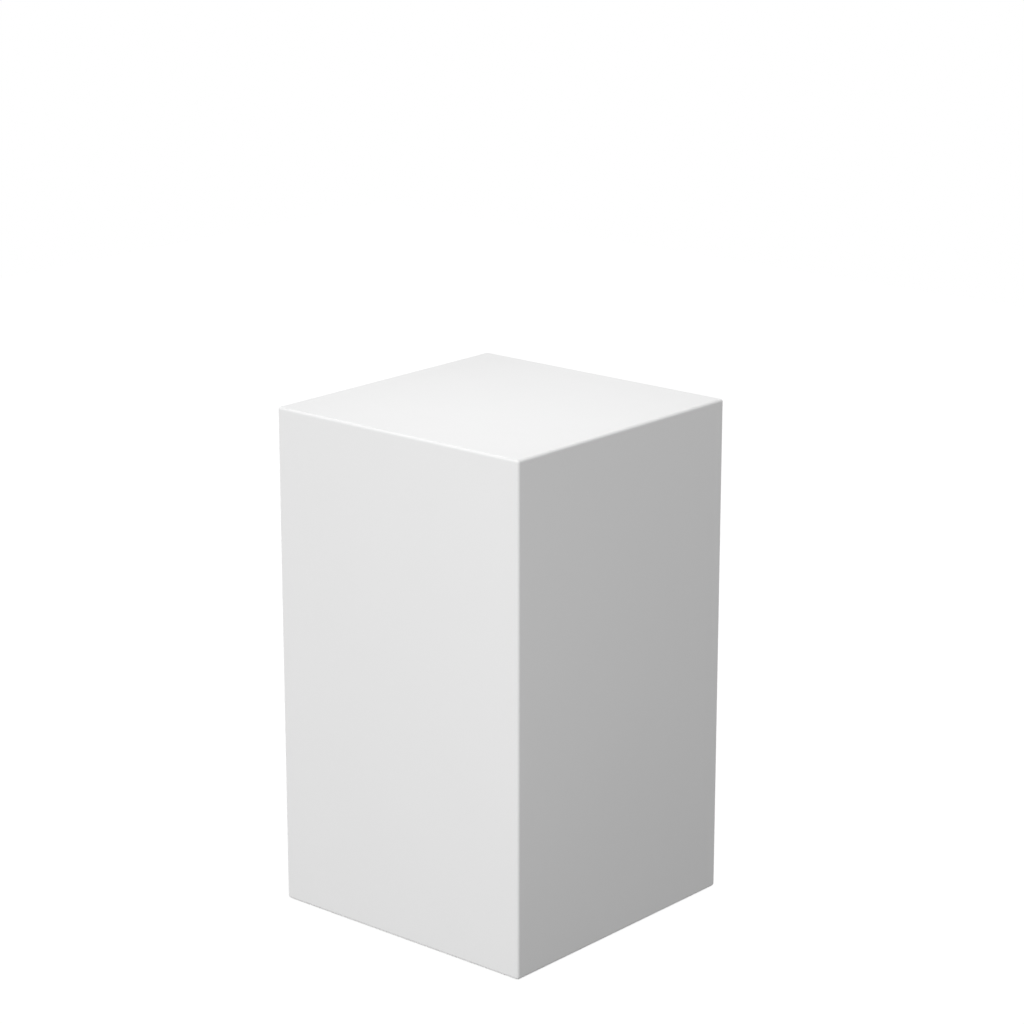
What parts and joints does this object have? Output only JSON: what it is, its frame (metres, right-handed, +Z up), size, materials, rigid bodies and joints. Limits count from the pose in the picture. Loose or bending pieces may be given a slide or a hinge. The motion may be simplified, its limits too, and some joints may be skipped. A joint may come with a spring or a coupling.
{
  "type": "display plinth",
  "caption": "Square white display plinth, taller than wide, with seamless mitred panels, softly rounded edges and hidden levelling feet, for standing exhibits on.",
  "frame": {"origin": "on the floor under the middle of the plinth, feet wound fully in", "axes": "+Z up, -Y out of the front panel, +X to its right"},
  "size_m": [0.45, 0.45, 0.75],
  "materials": {
    "white_lacquered_board": "satin white lacquer on fibreboard, raw inside",
    "raw_board": "raw sanded fibreboard",
    "planed_softwood": "planed pine",
    "pressed_beech": "pressed beech with a stamped face",
    "zinc_plated_steel": "bright zinc plate",
    "black_nylon": "moulded nylon"
  },
  "bodies": {
    "carcase": {"top_panel": "white_lacquered_board", "front_panel": "white_lacquered_board", "right_panel": "white_lacquered_board", "back_panel": "white_lacquered_board", "left_panel": "white_lacquered_board", "base_panel": "raw_board", "corner_post_front_right": "planed_softwood", "corner_post_back_right": "planed_softwood", "corner_post_back_left": "planed_softwood", "corner_post_front_left": "planed_softwood", "top_batten_front": "planed_softwood", "top_batten_right": "planed_softwood", "top_batten_back": "planed_softwood", "top_batten_left": "planed_softwood", "base_batten_front": "planed_softwood", "base_batten_right": "planed_softwood", "base_batten_back": "planed_softwood", "base_batten_left": "planed_softwood", "corner_biscuits_front_right": "pressed_beech", "corner_biscuits_back_right": "pressed_beech", "corner_biscuits_back_left": "pressed_beech", "corner_biscuits_front_left": "pressed_beech", "top_biscuits_front": "pressed_beech", "top_biscuits_right": "pressed_beech", "top_biscuits_back": "pressed_beech", "top_biscuits_left": "pressed_beech", "foot_tee_nuts": "zinc_plated_steel", "base_panel_screws": "zinc_plated_steel"},
    "pad_front_right": {"foot_pad_front_right": "black_nylon"},
    "stem_front_right": {"foot_stem_front_right": "zinc_plated_steel"},
    "pad_back_right": {"foot_pad_back_right": "black_nylon"},
    "stem_back_right": {"foot_stem_back_right": "zinc_plated_steel"},
    "pad_back_left": {"foot_pad_back_left": "black_nylon"},
    "stem_back_left": {"foot_stem_back_left": "zinc_plated_steel"},
    "pad_front_left": {"foot_pad_front_left": "black_nylon"},
    "stem_front_left": {"foot_stem_front_left": "zinc_plated_steel"}
  },
  "joints": [
    {"name": "foot_slide_front_right", "type": "slide", "parent": "carcase", "child": "pad_front_right", "axis": [0, 0, -1], "range_m": [0, 0.0101]},
    {"name": "foot_turn_front_right", "type": "hinge", "parent": "pad_front_right", "child": "stem_front_right", "pos_m": [0.152, -0.152, 0], "axis": [0, 0, -1], "range_deg": [0, 2880]},
    {"name": "foot_slide_back_right", "type": "slide", "parent": "carcase", "child": "pad_back_right", "axis": [0, 0, -1], "range_m": [0, 0.0101]},
    {"name": "foot_turn_back_right", "type": "hinge", "parent": "pad_back_right", "child": "stem_back_right", "pos_m": [0.152, 0.152, 0], "axis": [0, 0, -1], "range_deg": [0, 2880]},
    {"name": "foot_slide_back_left", "type": "slide", "parent": "carcase", "child": "pad_back_left", "axis": [0, 0, -1], "range_m": [0, 0.0101]},
    {"name": "foot_turn_back_left", "type": "hinge", "parent": "pad_back_left", "child": "stem_back_left", "pos_m": [-0.152, 0.152, 0], "axis": [0, 0, -1], "range_deg": [0, 2880]},
    {"name": "foot_slide_front_left", "type": "slide", "parent": "carcase", "child": "pad_front_left", "axis": [0, 0, -1], "range_m": [0, 0.0101]},
    {"name": "foot_turn_front_left", "type": "hinge", "parent": "pad_front_left", "child": "stem_front_left", "pos_m": [-0.152, -0.152, 0], "axis": [0, 0, -1], "range_deg": [0, 2880]}
  ],
  "couplings": [
    {"joint": "foot_slide_front_right", "follows": "foot_turn_front_right", "m_per_rad": 0.00019894},
    {"joint": "foot_slide_back_right", "follows": "foot_turn_back_right", "m_per_rad": 0.00019894},
    {"joint": "foot_slide_back_left", "follows": "foot_turn_back_left", "m_per_rad": 0.00019894},
    {"joint": "foot_slide_front_left", "follows": "foot_turn_front_left", "m_per_rad": 0.00019894}
  ]
}
